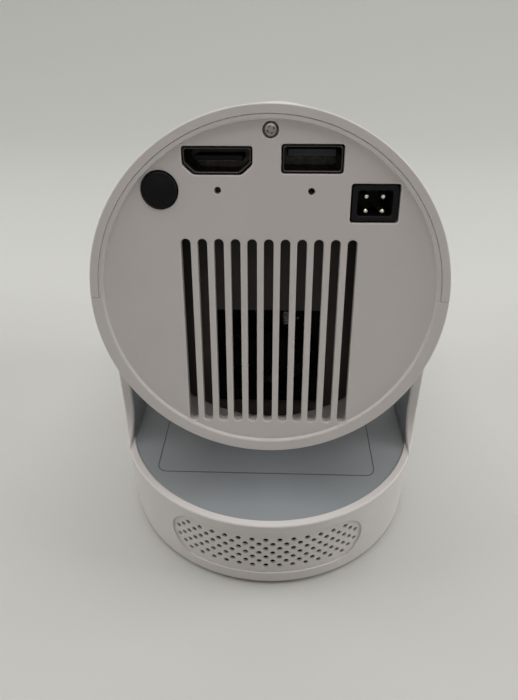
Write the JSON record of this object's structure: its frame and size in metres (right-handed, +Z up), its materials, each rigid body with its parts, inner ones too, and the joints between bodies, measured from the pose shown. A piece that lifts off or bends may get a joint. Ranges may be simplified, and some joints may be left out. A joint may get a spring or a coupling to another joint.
{
  "type": "video projector",
  "caption": "Small round-barrel video projector that tilts in the two-armed yoke of a round speaker stand, with a thumb-wheel focus and rear sockets.",
  "frame": {"origin": "centre of the rubber pad under the round stand, on the surface that it stands on", "axes": "+Z up; -Y is the way the lens looks, +Y the side with the sockets; +X is the left arm seen from behind, and the tilt hinge's axis lies along X"},
  "size_m": [0.0946, 0.1528, 0.1286],
  "materials": {
    "white_plastic": "fine matt texture, warm off-white",
    "grey_plastic": "matt mid grey",
    "black_plastic": "satin black",
    "black_gloss": "polished black",
    "dark_rubber": "matt",
    "steel": "zinc plated",
    "tin_plate": "bright plated",
    "aluminium": "extruded, plain",
    "brass": "bright",
    "board_green": "lacquered circuit board",
    "lamp_yellow": "light emitter coating",
    "clear_glass": "polished",
    "panel_glass": "polished, dark"
  },
  "bodies": {
    "stand": {"stand_shell": "white_plastic", "cradle_floor": "grey_plastic", "arm_liner_left": "grey_plastic", "arm_liner_right": "grey_plastic", "base_plate": "black_plastic", "base_screw_1": "steel", "base_screw_2": "steel", "base_screw_3": "steel", "base_screw_4": "steel", "rubber_pad": "dark_rubber", "speaker_frame": "black_plastic", "speaker_cone": "dark_rubber", "speaker_magnet": "steel", "hinge_pin_left": "steel", "hinge_pin_right": "steel", "friction_washer_left": "steel", "friction_washer_right": "steel", "hinge_nut_left": "steel", "hinge_nut_right": "steel"},
    "barrel": {"lower_shell": "white_plastic", "upper_shell": "white_plastic", "front_bezel": "black_gloss", "rear_screw": "tin_plate", "hdmi_shell": "tin_plate", "hdmi_tongue": "black_plastic", "usb_shell": "tin_plate", "usb_tongue": "black_plastic", "dc_housing": "black_plastic", "dc_pin_1": "brass", "dc_pin_2": "brass", "dc_pin_3": "brass", "dc_pin_4": "brass", "tact_switch": "black_plastic", "switch_board": "board_green", "main_board": "board_green", "chip_heat_sink": "aluminium", "status_light": "clear_glass", "remote_receiver": "black_plastic", "fan_baffle": "black_plastic", "fan_frame": "black_plastic", "heat_sink": "aluminium", "lamp_board": "aluminium", "lamp_emitter": "lamp_yellow", "engine_housing": "black_plastic", "condenser_lens": "clear_glass", "rear_fresnel": "clear_glass", "lcd_panel": "panel_glass", "front_fresnel": "clear_glass", "lens_sleeve": "black_plastic", "focus_axle": "steel", "hinge_bracket_left": "steel", "hinge_bracket_right": "steel"},
    "power_button": {"power_button": "black_plastic"},
    "fan_rotor": {"fan_rotor": "black_plastic"},
    "focus_wheel": {"focus_wheel": "black_plastic"},
    "focus_ring": {"focus_ring": "black_plastic"},
    "lens": {"lens_tube": "black_plastic", "front_lens": "clear_glass", "rear_lens": "clear_glass", "lens_retainer": "black_gloss"}
  },
  "joints": [
    {"name": "barrel_tilt", "type": "hinge", "parent": "stand", "child": "barrel", "pos_m": [0, 0, 0.0815], "axis": [-1, 0, 0], "range_deg": [-3, 189]},
    {"name": "power_button_press", "type": "slide", "parent": "barrel", "child": "power_button", "axis": [0, -0.9871, -0.1599], "range_m": [0, 0.0008], "stiffness_N_per_m": 800},
    {"name": "fan_spin", "type": "hinge", "parent": "barrel", "child": "fan_rotor", "pos_m": [0, 0.01304, 0.06135], "axis": [0, 0.9871, 0.1599], "continuous": true},
    {"name": "focus_wheel_turn", "type": "hinge", "parent": "barrel", "child": "focus_wheel", "pos_m": [-0.02858, -0.08506, 0.08444], "axis": [0, 0.9871, 0.1599], "range_deg": [-135, 135]},
    {"name": "focus_ring_turn", "type": "hinge", "parent": "barrel", "child": "focus_ring", "pos_m": [0, -0.08243, 0.06815], "axis": [0, 0.9871, 0.1599], "range_deg": [-67.5, 67.5]},
    {"name": "lens_slide", "type": "slide", "parent": "barrel", "child": "lens", "axis": [0, -0.9871, -0.1599], "range_m": [-0.002, 0.002]}
  ],
  "couplings": [
    {"joint": "focus_ring_turn", "follows": "focus_wheel_turn", "ratio": -0.5},
    {"joint": "lens_slide", "follows": "focus_wheel_turn", "m_per_rad": 0.000848}
  ]
}
